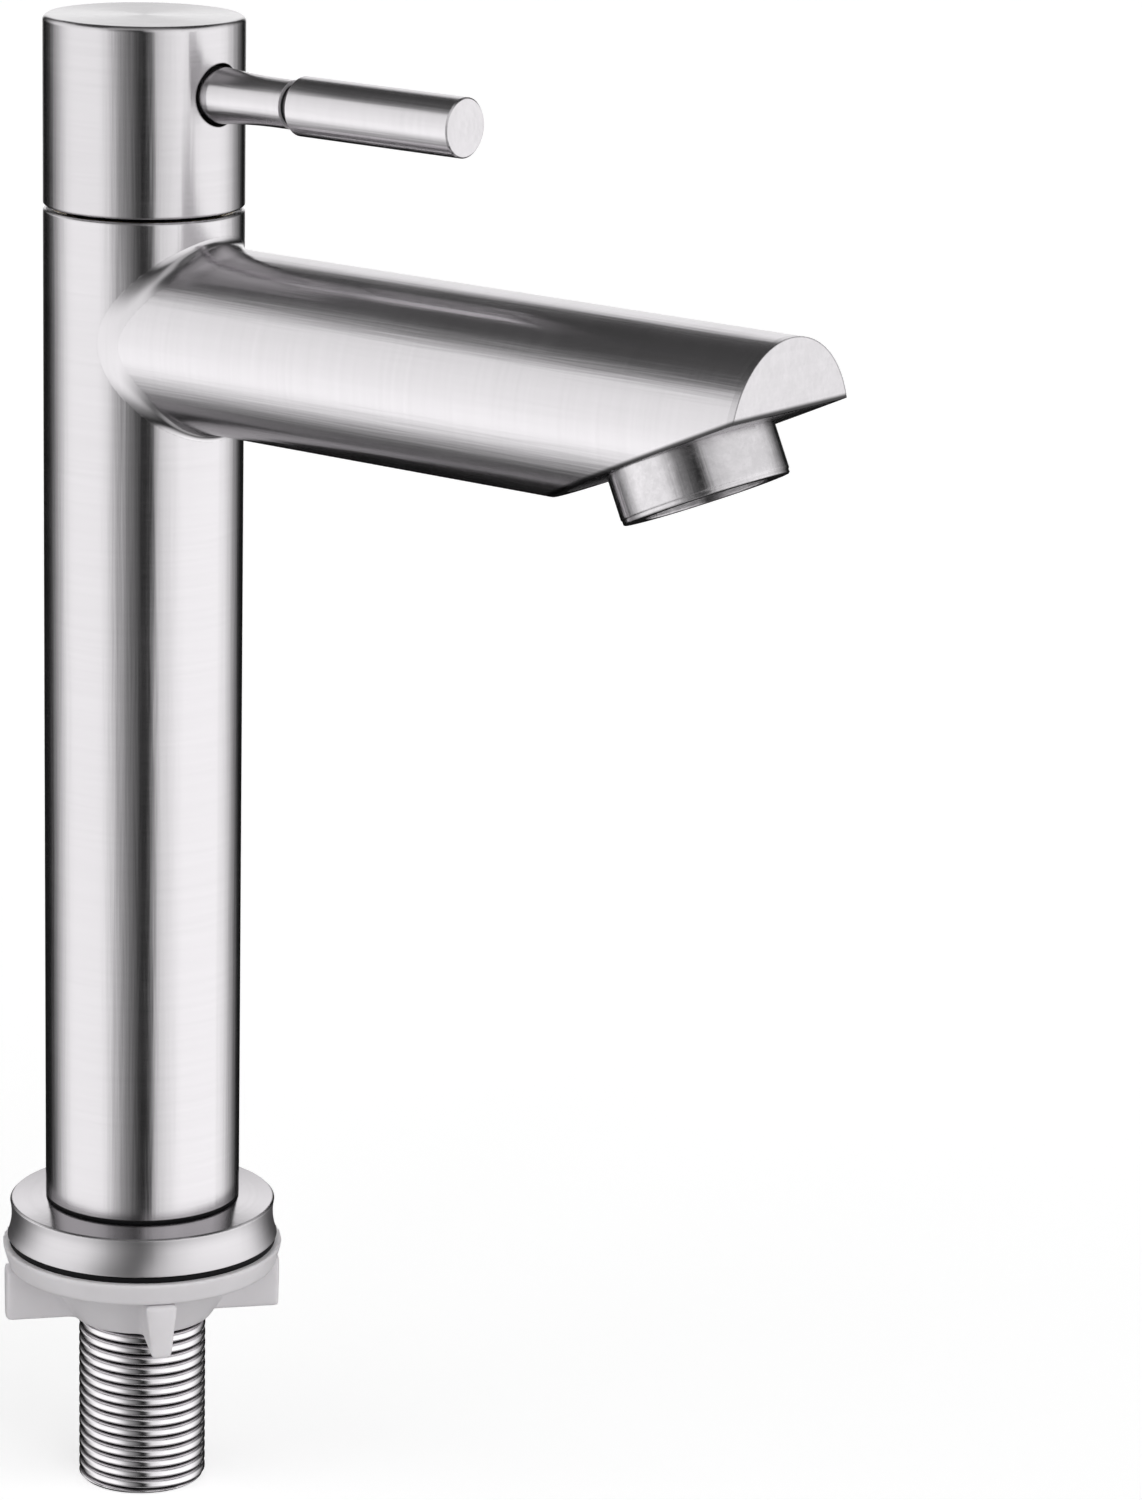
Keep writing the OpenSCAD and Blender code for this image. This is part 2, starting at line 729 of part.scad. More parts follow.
module bonnet_seal() {
    color("black")
        ring(bonnet_flange_d / 2 - seat_fit, bonnet_thread_d / 2 + seat_fit, socket_top_z, bonnet_seal_t);
}

// The two flow ports of a ceramic disc, centred on angle a
module disc_ports(a, z) {
    for (turn = [a, a + 180])
        ring_sector(port_r, port_inner_r, turn - port_angle / 2, turn + port_angle / 2, z - 1, disc_t + 2);
}

module lower_disc() {
    color("white") difference() {
        union() {
            rod(sleeve_bore_r - seat_fit, lower_disc_z, disc_t);
            intersection() {
                rod(sleeve_d / 2 - seat_fit, lower_disc_z, disc_t);
                translate([-column_r, -key_w / 2, lower_disc_z]) cube([column_d, key_w, disc_t]);
            }
        }
        disc_ports(90, lower_disc_z);
    }
}

module upper_disc() {
    color("white") difference() {
        rod(sleeve_bore_r - run_fit, upper_disc_z, disc_t);
        disc_ports(0, upper_disc_z);
        translate([-tongue_w / 2 - seat_fit, -column_r, upper_disc_top_z - tongue_h - seat_fit])
            cube([tongue_w + 2 * seat_fit, column_d, tongue_h + 1]);
    }
}

module seat_seal() {
    color("dimgray") ring(sleeve_bore_r - seat_fit, seat_seal_bore_d / 2, seat_z, seat_seal_h);
}

// An outline with a pointed tooth at each step of the circle
function spline_outline(root, tip) = [
    for (i = [0 : 2 * spline_teeth - 1])
        (i % 2 == 0 ? tip : root) * [cos(i * 180 / spline_teeth), sin(i * 180 / spline_teeth)]
];

module spline_rod(extra, z, h) {
    translate([0, 0, z]) linear_extrude(h)
        polygon(spline_outline(spline_root_r + extra, spline_r + extra));
}

// Height of the middle of O-ring i
function oring_z(i) = bonnet_z - oring_depth - i * oring_pitch;
oring_centre_r = journal_r - oring_t / 2 + run_fit / 2;

module spindle() {
    groove_h = oring_t + 2 * run_fit;
    color("goldenrod") difference() {
        union() {
            spline_rod(0, stop_z, spline_top_z - stop_z);
            rod(journal_r, collar_top_z, stop_z - collar_top_z);
            rod(collar_d / 2, neck_top_z, collar_t);
            rod(neck_d / 2, foot_top_z, neck_l);
            intersection() {
                rod(collar_d / 2, upper_disc_top_z, foot_h);
                translate([-foot_w / 2, -column_r, upper_disc_top_z]) cube([foot_w, column_d, foot_h]);
            }
            intersection() {
                rod(collar_d / 2, upper_disc_top_z - tongue_h, foot_h);
                translate([-tongue_w / 2, -column_r, upper_disc_top_z - tongue_h])
                    cube([tongue_w, column_d, foot_h]);
            }
        }
        for (i = [0, 1])
            ring(journal_d, oring_centre_r - oring_t / 2 - run_fit / 2, oring_z(i) - groove_h / 2, groove_h);
        ring(journal_d, spline_root_r - clip_groove, clip_z, clip_t);
    }
}

module spindle_o_rings() {
    color("black") for (i = [0, 1])
        translate([0, 0, oring_z(i)]) rotate_extrude() translate([oring_centre_r, 0]) circle(d = oring_t);
}

module thrust_washer() {
    color("ivory") ring(collar_d / 2, journal_r + seat_fit, collar_top_z, thrust_t);
}

module stop_washer() {
    color("lightgray") difference() {
        union() {
            rod(stop_ring_d / 2, stop_z, stop_t);
            ring_sector(crown_d / 2, stop_ring_d / 2 - 1, -tab_angle / 2, tab_angle / 2, stop_z, stop_t);
        }
        spline_rod(seat_fit, stop_z - 1, stop_t + 2);
    }
}

// An open ring, so that it can be pushed into its groove from the side
module spindle_circlip() {
    color("dimgray") difference() {
        ring(clip_d / 2, spline_root_r - clip_groove + seat_fit, clip_z, clip_t);
        sector(journal_d, 60, 120, clip_z - 1, clip_t + 2);
    }
}

module spline_bush() {
    color("ivory") difference() {
        rod(bush_r, bush_z, bush_h);
        spline_rod(seat_fit, bush_z - 1, bush_h + 2);
        grub_seat();
    }
}

// The flat on the bush that the grub screw bears on
grub_z = bush_z + bush_h / 2;
grub_flat = 0.4;
grub_x = -column_r + grub_recess;
module grub_seat() {
    translate([-column_r - bush_r + grub_flat, -column_r, bush_z - 1])
        cube([column_r, column_d, bush_h + 2]);
}

module handle_grub_screw() {
    color("dimgray") difference() {
        cross_rod(grub_d / 2, grub_x, grub_z, -bush_r + grub_flat - grub_x);
        translate([grub_x - 1, 0, grub_z]) rotate([0, 90, 0])
            cylinder(d = grub_hex_w / cos(30), h = grub_hex_depth + 1, $fn = 6);
    }
}

module handle_cap() {
    pocket_h = cap_h - cap_top_t;
    stem_seat_x = boss_r - stem_seat;
    color("silver") difference() {
        translate([0, 0, cap_z]) rotate_extrude() {
            difference() {
                square([column_r, cap_h]);
                translate([boss_r, -1]) square([column_r - cap_wall - boss_r, pocket_h + 1]);
                translate([column_r - cap_round, cap_h - cap_round]) difference() {
                    square(2 * cap_round);
                    circle(r = cap_round);
                }
                translate([column_r - column_bevel, 0]) rotate(-45) square(2 * column_bevel);
            }
        }
        rod(boss_r, cap_z - 1, boss_z - cap_z + 1);
        rod(bush_r + seat_fit, boss_z - 1, bush_top_z - boss_z + 1 + turn_gap);
        cross_rod(stem_root_d / 2 + stem_gap, stem_seat_x, lever_z, column_r);
        cross_rod(stem_screw_d / 2 + seat_fit, bush_r + 1, lever_z, column_r);
        cross_rod(grub_d / 2 + seat_fit, -boss_r - 1, grub_z, boss_r + 1);
        cross_rod(grub_d / 2 + key_hole_gap, -column_r - 1, grub_z, column_r + 1 - boss_r);
    }
}

// The stem: a stud in the boss, a root in the cap's hole, a hollow taper and a spigot in the grip
taper_steps = 8;
module lever_stem() {
    seat_x = boss_r - stem_seat;
    taper_x = column_r + 0.8;
    root_r = stem_root_d / 2;
    tip_r = stem_d / 2;
    taper_l = (grip_start - taper_x) * 0.8;
    color("silver") translate([0, 0, lever_z]) rotate([0, 90, 0]) rotate_extrude() polygon(concat(
        [
            [0, bush_r + 1.3],
            [stem_screw_d / 2, bush_r + 1.3],
            [stem_screw_d / 2, seat_x],
            [root_r, seat_x]
        ],
        [for (i = [0 : taper_steps]) let (t = i / taper_steps)
            [tip_r + (root_r - tip_r) * pow(1 - t, 2), taper_x + taper_l * t]],
        [
            [tip_r, grip_start],
            [spigot_d / 2, grip_start],
            [spigot_d / 2, grip_start + spigot_l],
            [0, grip_start + spigot_l]
        ]
    ));
}

module lever_grip() {
    r = grip_d / 2;
    shoulder_x = grip_start + groove_l;
    color("silver") translate([0, 0, lever_z]) rotate([0, 90, 0]) rotate_extrude() polygon([
        [spigot_d / 2 + seat_fit, grip_start],
        [groove_d / 2, grip_start],
        [groove_d / 2, shoulder_x],
        [r, shoulder_x + grip_taper_l],
        [r, lever_reach - grip_bevel],
        [r - grip_bevel, lever_reach],
        [0, lever_reach],
        [0, grip_start + spigot_l + seat_fit],
        [spigot_d / 2 + seat_fit, grip_start + spigot_l + seat_fit]
    ]);
}

column_tube();
base_plug();
base_seal();
base_flange();
deck_gasket();
threaded_shank();
slip_washer();
wing_nut();
spout_tube();
spout_weld();
spout_end_plate();
spout_outlet_plate();
aerator_housing();
aerator_washer();
aerator_insert();
aerator_screens();
valve_socket();
bonnet();
bonnet_seal();
lower_disc();
seat_seal();
upper_disc();
spindle();
spindle_o_rings();
thrust_washer();
stop_washer();
spindle_circlip();
spline_bush();
handle_grub_screw();
handle_cap();
lever_stem();
lever_grip();
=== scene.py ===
"""Looks of the single-lever basin tap: materials, thread, weld, moulded plastic, camera and studio."""
import math

import bpy
from mathutils import Matrix, Vector


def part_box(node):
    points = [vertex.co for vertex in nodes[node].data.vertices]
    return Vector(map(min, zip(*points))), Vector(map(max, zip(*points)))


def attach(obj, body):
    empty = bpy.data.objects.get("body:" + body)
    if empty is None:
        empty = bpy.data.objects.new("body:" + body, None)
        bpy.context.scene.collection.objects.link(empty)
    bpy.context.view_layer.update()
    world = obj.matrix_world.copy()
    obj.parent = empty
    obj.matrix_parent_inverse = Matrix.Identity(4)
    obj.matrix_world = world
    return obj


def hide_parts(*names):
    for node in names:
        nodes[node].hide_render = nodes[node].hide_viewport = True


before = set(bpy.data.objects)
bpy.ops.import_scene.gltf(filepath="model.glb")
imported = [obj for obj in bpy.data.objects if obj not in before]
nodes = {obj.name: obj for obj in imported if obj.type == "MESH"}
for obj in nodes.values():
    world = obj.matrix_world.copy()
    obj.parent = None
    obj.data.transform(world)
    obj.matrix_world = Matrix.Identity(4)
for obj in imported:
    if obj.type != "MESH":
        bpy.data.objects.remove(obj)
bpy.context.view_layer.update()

MM = 0.001
ORIGIN = (0.0, 0.0, 0.0)
X_AXIS = (1.0, 0.0, 0.0)
Z_AXIS = (0.0, 0.0, 1.0)

# Places that the looks need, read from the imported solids
column_low, column_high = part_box("column_tube")
spout_z = (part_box("spout_tube")[0].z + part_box("spout_tube")[1].z) / 2
plate_low, plate_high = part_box("spout_end_plate")
lever_low, lever_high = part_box("lever_grip")
flange_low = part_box("base_flange")[0]
shank_low, shank_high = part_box("threaded_shank")
aerator_low, aerator_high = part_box("aerator_housing")

# The slanted outlet: its axis points down and out, and its depth is where its edge lies
OUTLET_TILT = math.radians(24.2)
outlet_axis = (math.sin(OUTLET_TILT), 0.0, -math.cos(OUTLET_TILT))
outlet_depth = max(v.co.dot(Vector(outlet_axis)) for v in nodes["spout_tube"].data.vertices)

# Sizes in millimetres of the shapes that are made here
SPOUT_R = 14.74
THREAD_CREST_R = 10.4775
THREAD_PITCH = 25.4 / 14
THREAD_DEPTH = 1.08
THREAD_SHADE_R = 9.4       # thread roots are painted dark near and below this radius, a painted shade
SHANK_BORE_R = 7.5
SHANK_BEVEL = 0.5
LEVER_GROOVE_R = 3.27    # the floor of the groove between stem and grip is below this radius

# Greys are a little low in green, as the photographed steel is
STEEL_TINT = (1.0, 0.973, 1.0)


# ---------------------------------------------------------------- shader graphs
class Graph:
    """Adds shader nodes to a tree; a value that is a socket is linked, any other value is set."""

    def __init__(self, tree):
        self.tree = tree

    def add(self, kind, inputs=None, out=0, **settings):
        node = self.tree.nodes.new("ShaderNode" + kind)
        for key, value in settings.items():
            setattr(node, key, value)
        for key, value in (inputs or {}).items():
            self.put(node, key, value)
        return node.outputs[out] if out is not None else node

    def put(self, node, key, value):
        if isinstance(value, bpy.types.NodeSocket):
            self.tree.links.new(value, node.inputs[key])
        else:
            node.inputs[key].default_value = value

    def math(self, operation, a, b=0.0):
        return self.add("Math", {0: a, 1: b}, operation=operation)

    def plus(self, first, *others):
        for other in others:
            first = self.math("ADD", first, other)
        return first

    def times(self, first, *others):
        for other in others:
            first = self.math("MULTIPLY", first, other)
        return first

    def minus(self, a, b):
        return self.math("SUBTRACT", a, b)

    def dot(self, a, b):
        return self.add("VectorMath", {0: a, 1: b}, out=1, operation="DOT_PRODUCT")

    def scaled(self, vector, factor):
        return self.add("VectorMath", {0: vector, 3: factor}, operation="SCALE")

    def vector(self, operation, a, b):
        return self.add("VectorMath", {0: a, 1: b}, operation=operation)

    def ramp(self, value, low, high, to_low=0.0, to_high=1.0, kind="SMOOTHSTEP"):
        return self.add("MapRange", {"Value": value, "From Min": low, "From Max": high,
                                     "To Min": to_low, "To Max": to_high}, interpolation_type=kind)

    def noise(self, vector, scale, detail=2.0, rough=0.5, w=None):
        inputs = {"Vector": vector, "Scale": scale, "Detail": detail, "Roughness": rough}
        if w is None:
            return self.add("TexNoise", inputs, noise_dimensions="3D")
        inputs["W"] = w
        return self.add("TexNoise", inputs, noise_dimensions="4D")

    def mix_number(self, factor, a, b):
        return self.add("Mix", {0: factor, 2: a, 3: b}, out=0, data_type="FLOAT")

    def mix_vector(self, factor, a, b):
        return self.add("Mix", {0: factor, 4: a, 5: b}, out=1, data_type="VECTOR")

    def mix_colour(self, factor, a, b):
        return self.add("Mix", {0: factor, 6: a, 7: b}, out=2, data_type="RGBA")

    def grey(self, value, tint):
        return self.add("CombineColor", {i: self.times(value, tint[i]) for i in range(3)})

    def bump(self, strength, distance, height, normal):
        return self.add("Bump", {"Strength": strength, "Distance": distance, "Height": height,
                                 "Normal": normal})


materials = {}


def new_material(name):
    """An empty material, kept in materials under its name, and the graph that fills it."""
    material = bpy.data.materials.new(name)
    material.use_nodes = True
    material.node_tree.nodes.clear()
    materials[name] = material
    return Graph(material.node_tree)


def finish_material(g, surface):
    output = g.add("OutputMaterial", out=None)
    g.tree.links.new(surface, output.inputs["Surface"])


def rgba(value, tint=(1.0, 1.0, 1.0)):
    return (value * tint[0], value * tint[1], value * tint[2], 1.0)


def edge_mask(g, radius):
    """1 on rounded-over edges, 0 on open surface, and the normal that rounds those edges."""
    rounded = g.add("Bevel", {"Radius": radius}, samples=4)
    normal = g.add("NewGeometry", out=1)
    turned = g.minus(1.0, g.dot(rounded, normal))
    return g.ramp(turned, 0.004, 0.12), rounded


def revolution_space(g, axis, centre):
    """A place round an axis: from the centre, along the axis, its radius, and its angle's cosine and sine."""
    place = g.add("TexCoord", out=3)
    local = g.vector("SUBTRACT", place, centre)
    along = g.dot(local, axis)
    flat = g.vector("SUBTRACT", local, g.scaled(axis, along))
    radius = g.math("MAXIMUM", g.add("VectorMath", {0: flat}, out=1, operation="LENGTH"), 1e-6)
    first = Vector(axis).orthogonal().normalized()
    second = Vector(axis).cross(first)
    cosine = g.math("DIVIDE", g.dot(flat, tuple(first)), radius)
    sine = g.math("DIVIDE", g.dot(flat, tuple(second)), radius)
    return local, along, radius, cosine, sine


# ---------------------------------------------------------------- materials
def brushed_steel(name, axis=Z_AXIS, centre=ORIGIN, tone=0.66, rough=0.2, aniso=0.75, rim=0.55,
                  grain=1.0, flat_grain=None, waviness=1.0, mottle=0.0, side_rough=0.0,
                  edge=0.3 * MM, wear_and_painted_edge=0.6, painted_edge_tone=None, bevel_from=None, bevel_to=None,
                  face_tone=1.0, rough_painted_highlight_to=None, painted_groove_shade_r=None, painted_foot_shade=None, painted_edge_shade_depth=None):
    """Steel brushed round an axis.

    tone, rough, aniso and rim: value, roughness, anisotropy and the grey that a grazing look tends to.
    grain, waviness, mottle: depth of the hairlines, of the drawn surface's long waves, and cast patches.
    flat_grain: the way the end faces are brushed, where they aren't brushed in rings.
    side_rough: roughness added off the end faces.
    edge, wear_and_painted_edge, painted_edge_tone: width, strength and value of the edges' colour, which is
    worn paler, unless painted_edge_tone paints it dark as a painted dark reflection of the rounded edge;
    kept by bevel_from or bevel_to to the places on one side of a distance along the axis.
    face_tone: factor on the end faces' value. rough_painted_highlight_to: an end face up to there is rougher
    and painted paler, a painted highlight.
    painted_groove_shade_r: radius below which a groove's floor is painted near black, a painted shade.
    painted_foot_shade: lowest place and height of a part's base painted near black, a painted shade where the
    part meets the rubber below it.
    painted_edge_shade_depth: depth along the outlet's axis of its edge, along which a dark band is painted, a
    painted shade.
    """
    g = new_material(name)
    local, along, radius, cosine, sine = revolution_space(g, axis, centre)
    normal = g.add("TexCoord", out=1)
    end_face = g.ramp(g.math("ABSOLUTE", g.dot(normal, axis)), 0.69, 0.71)

    # Way of the brushing, and the space in which its hairlines are long that way
    groove = g.vector("CROSS_PRODUCT", axis, local)
    fine = g.add("CombineXYZ", {0: radius, 1: along, 2: g.times(cosine, 0.0005)})
    turn = g.times(sine, 0.0005)
    if flat_grain is not None:
        groove = g.mix_vector(end_face, groove, g.scaled(flat_grain, 0.01))
        across = Vector(flat_grain).cross(Vector(axis)).normalized()
        flat_fine = g.add("CombineXYZ", {0: g.dot(local, tuple(across)), 1: along,
                                         2: g.times(g.dot(local, flat_grain), 0.02)})
        fine = g.mix_vector(end_face, fine, flat_fine)
    tangent = g.add("VectorTransform", {0: g.vector("CROSS_PRODUCT", normal, groove)},
                    vector_type="VECTOR", convert_from="OBJECT", convert_to="WORLD")
    hairline = g.noise(fine, 5200.0, 3.0, 0.65, turn)
    streak = g.noise(fine, 1300.0, 3.0, 0.6, turn)
    cloud = g.noise(local, 55.0, 3.0, 0.55)
    patch = g.noise(local, 420.0, 5.0, 0.7) if mottle else None

    edges, rounded = edge_mask(g, edge)
    if bevel_from is not None:
        span = g.ramp(along, bevel_from, bevel_from + 0.2 * MM)
    elif bevel_to is not None:
        span = g.ramp(along, bevel_to - 0.2 * MM, bevel_to, 1.0, 0.0)
    else:
        span = None
    if span is not None:
        edges = g.times(edges, span)
        rounded = g.mix_vector(span, g.add("NewGeometry", out=1), rounded)

    value = g.ramp(g.mix_number(0.45, streak, cloud), 0.3, 0.7, tone - 0.025, tone + 0.02, "LINEAR")
    roughness = g.ramp(g.plus(g.times(hairline, 0.5), g.times(cloud, 0.5)),
                       0.3, 0.7, rough - 0.035, rough + 0.045, "LINEAR")
    if mottle:
        value = g.plus(value, g.ramp(patch, 0.35, 0.7, -mottle, mottle * 0.6))
        roughness = g.plus(roughness, g.ramp(patch, 0.3, 0.7, 0.0, mottle * 1.5))
    if face_tone != 1.0:
        value = g.times(value, g.ramp(end_face, 0.0, 1.0, 1.0, face_tone, "LINEAR"))
    # Painted highlight: the stem's end face is painted paler, and it is also made rougher
    if rough_painted_highlight_to is not None:
        rough_painted_highlight = g.times(end_face, g.ramp(along, rough_painted_highlight_to, rough_painted_highlight_to + 0.1 * MM, 1.0, 0.0))
        value = g.plus(value, g.times(rough_painted_highlight, 0.25))
        roughness = g.plus(roughness, g.times(rough_painted_highlight, 0.45))
    if side_rough:
        roughness = g.plus(roughness, g.times(g.minus(1.0, end_face), side_rough))
    # Painted shade: the lowest part is painted near black where it meets the rubber below it
    if painted_foot_shade is not None:
        lowest, painted_shade_height = painted_foot_shade
        value = g.times(value, g.ramp(along, lowest + 0.5 * painted_shade_height, lowest + painted_shade_height, 0.03, 1.0))
    # Painted shade: a band along the outlet's slanted edge is painted dark
    if painted_edge_shade_depth is not None:
        depth = g.minus(g.dot(g.add("TexCoord", out=3), outlet_axis), painted_edge_shade_depth)
        value = g.times(value, g.ramp(depth, -0.85 * MM, -0.25 * MM, 1.0, 0.1))
    # Edges are paler where worn; a given edge tone paints them dark instead, a painted dark reflection of the
    # rounded edge
    worn = rgba(painted_edge_tone or min(tone + 0.14, 0.9), STEEL_TINT)
    colour = g.mix_colour(g.times(edges, wear_and_painted_edge), g.grey(value, STEEL_TINT), worn)
    # Painted shade: the floor of the groove between stem and grip is painted near black
    if painted_groove_shade_r is not None:
        painted_groove_shade = g.times(g.ramp(radius, painted_groove_shade_r - 0.05 * MM, painted_groove_shade_r, 1.0, 0.0),
                               g.minus(1.0, end_face))
        colour = g.mix_colour(painted_groove_shade, colour, rgba(0.05))
    roughness = g.minus(roughness, g.times(edges, 0.05))

    lengthwise = g.add("CombineXYZ", {0: g.times(cosine, radius), 1: g.times(along, 0.03),
                                      2: g.times(sine, radius)})
    drawn = g.noise(lengthwise, 420.0, 3.0, 0.6)
    height = g.plus(g.times(hairline, 0.35), g.times(streak, 0.65))
    wave = g.bump(1.0, 0.045 * MM * waviness, drawn, rounded)
    bump = g.bump(0.35 * grain, 0.012 * MM, height, wave)
    finish_material(g, g.add("BsdfPrincipled", {
        "Base Color": colour, "Metallic": 1.0, "Roughness": roughness, "Anisotropic": aniso,
        "Tangent": tangent, "Normal": bump, "Specular Tint": rgba(rim)}))


def cut_thread_steel(name, shade_radius):
    """Bright cut steel whose thread roots are painted dark, a painted shade."""
    g = new_material(name)
    local, along, radius, cosine, sine = revolution_space(g, Z_AXIS, ORIGIN)
    # Painted shade: below the radius the roots are painted near black, by a noisy amount
    height = g.ramp(radius, shade_radius + 0.1 * MM, shade_radius + 0.8 * MM)
    root_shade_noise = g.noise(local, 600.0, 4.0, 0.6)
    root_shade = g.times(g.minus(1.0, height), g.ramp(root_shade_noise, 0.2, 0.65, 0.75, 1.0))
    tool = g.noise(g.add("CombineXYZ", {0: radius, 1: along, 2: g.times(cosine, 0.001)}),
                   7000.0, 2.0, 0.6, g.times(sine, 0.001))
    rounded = edge_mask(g, 0.15 * MM)[1]
    bright = g.ramp(tool, 0.3, 0.7, 0.74, 0.84, "LINEAR")
    colour = g.mix_colour(root_shade, g.grey(bright, STEEL_TINT), rgba(0.025))
    roughness = g.plus(g.ramp(tool, 0.3, 0.7, 0.1, 0.18, "LINEAR"), g.times(root_shade, 0.25))
    bump = g.bump(0.4, 0.015 * MM, tool, rounded)
    finish_material(g, g.add("BsdfPrincipled", {
        "Base Color": colour, "Metallic": 1.0, "Roughness": roughness, "Normal": bump,
        "Specular Tint": rgba(0.3)}))


def plain_metal(name, colour, rough, axis=Z_AXIS, worn=None):
    """Turned metal with tool marks round an axis."""
    g = new_material(name)
    local, along, radius, cosine, sine = revolution_space(g, axis, ORIGIN)
    marks = g.noise(g.add("CombineXYZ", {0: radius, 1: along, 2: g.times(cosine, 0.0008)}),
                    3000.0, 3.0, 0.6, g.times(sine, 0.0008))
    cloud = g.noise(local, 140.0, 3.0, 0.6)
    edges, rounded = edge_mask(g, 0.15 * MM)
    worn = worn or tuple(min(1.0, c * 1.2) for c in colour)
    dull = tuple(c * 0.86 for c in colour)
    base = g.mix_colour(g.ramp(cloud, 0.3, 0.7), dull + (1.0,), colour + (1.0,))
    base = g.mix_colour(g.times(edges, 0.6), base, worn + (1.0,))
    roughness = g.ramp(marks, 0.25, 0.75, rough - 0.06, rough + 0.08, "LINEAR")
    bump = g.bump(0.4, 0.015 * MM, marks, rounded)
    finish_material(g, g.add("BsdfPrincipled", {
        "Base Color": base, "Metallic": 1.0, "Roughness": roughness, "Normal": bump}))


def moulded(name, colour, rough, relief, scale, scatter=0.0, cloudiness=0.06, coat=0.0, specular=0.5):
    """Moulded or ground plastic, rubber or ceramic: fine surface texture, cloudy tone and worn edges."""
    g = new_material(name)
    place = g.add("TexCoord", out=3)
    skin = g.noise(place, scale, 4.0, 0.6)
    cloud = g.noise(place, 90.0, 4.0, 0.55)
    edges, rounded = edge_mask(g, 0.3 * MM)
    dull = tuple(c * (1.0 - cloudiness) for c in colour)
    bright = tuple(min(1.0, c * (1.0 + cloudiness * 0.7) + 0.004) for c in colour)
    base = g.mix_colour(g.ramp(cloud, 0.3, 0.7), dull + (1.0,), colour + (1.0,))
    base = g.mix_colour(g.times(edges, 0.5), base, bright + (1.0,))
    roughness = g.ramp(skin, 0.25, 0.75, rough - 0.06, rough + 0.08, "LINEAR")
    bump = g.bump(0.5, relief * MM, skin, rounded)
    inputs = {"Base Color": base, "Roughness": roughness, "Normal": bump, "Specular IOR Level": specular}
    if scatter:
        inputs.update({"Subsurface Weight": scatter, "Subsurface Scale": 1.5 * MM,
                       "Subsurface Radius": (1.0, 0.9, 0.8)})
    if coat:
        inputs.update({"Coat Weight": coat, "Coat Roughness": 0.12})
    finish_material(g, g.add("BsdfPrincipled", inputs))


def make_materials():
    spout = {"axis": X_AXIS, "centre": (0.0, 0.0, spout_z)}
    lever = {"axis": X_AXIS, "centre": (0.0, 0.0, (lever_low.z + lever_high.z) / 2)}
    outlet = {"axis": outlet_axis, "centre": tuple((aerator_low + aerator_high) / 2)}

    brushed_steel("steel_body", wear_and_painted_edge=0.2, painted_foot_shade=(column_low.z, 0.27 * MM))
    brushed_steel("steel_handle", tone=0.63)
    brushed_steel("steel_lever", **lever, tone=0.7, waviness=2.2, edge=0.15 * MM, face_tone=0.93,
                  rough_painted_highlight_to=lever_low.x + 1.0 * MM, painted_groove_shade_r=LEVER_GROOVE_R * MM)
    brushed_steel("steel_spout", **spout, tone=0.71, waviness=1.7, edge=0.35 * MM, wear_and_painted_edge=0.0,
                  bevel_to=plate_low.x - 0.6 * MM, painted_edge_shade_depth=outlet_depth)
    brushed_steel("steel_weld", **spout, rough=0.18, aniso=0.0, grain=0.5, waviness=0.0, edge=0.02 * MM)
    # The end plate's edges are painted dark: a painted dark reflection
    brushed_steel("steel_plate", **spout, flat_grain=(0.0, 1.0, 0.0), mottle=0.03, edge=0.35 * MM,
                  wear_and_painted_edge=0.75, painted_edge_tone=0.15, bevel_from=plate_high.x - 0.8 * MM,
                  painted_edge_shade_depth=outlet_depth)
    brushed_steel("steel_outlet", **outlet, rough=0.26)
    brushed_steel("steel_aerator", **outlet, rough=0.12, aniso=0.5, mottle=0.08)
    brushed_steel("steel_flange", rough=0.15, aniso=0.4, rim=0.3, waviness=0.3, side_rough=0.2,
                  painted_foot_shade=(flange_low.z, 0.3 * MM))
    cut_thread_steel("steel_thread", THREAD_SHADE_R * MM)
    plain_metal("steel_turned", (0.62, 0.61, 0.61), 0.28)
    plain_metal("steel_mesh", (0.5, 0.5, 0.5), 0.3, axis=outlet_axis)
    plain_metal("steel_small", (0.42, 0.42, 0.43), 0.32)
    plain_metal("brass", (0.78, 0.58, 0.27), 0.26, worn=(0.9, 0.74, 0.42))
    moulded("rubber_black", (0.006, 0.006, 0.007), 0.62, 0.02, 1800.0, cloudiness=0.25, specular=0.12)
    moulded("rubber_grey", (0.12, 0.12, 0.12), 0.6, 0.02, 1800.0, cloudiness=0.2)
    moulded("plastic_white", (0.71, 0.69, 0.71), 0.42, 0.012, 2200.0, scatter=0.15)
    moulded("plastic_grey", (0.55, 0.56, 0.58), 0.4, 0.012, 2200.0, scatter=0.1)
    moulded("plastic_ivory", (0.8, 0.77, 0.68), 0.38, 0.012, 2200.0, scatter=0.2)
    moulded("ceramic_white", (0.86, 0.85, 0.81), 0.12, 0.002, 4000.0, cloudiness=0.03, coat=0.4)


make_materials()

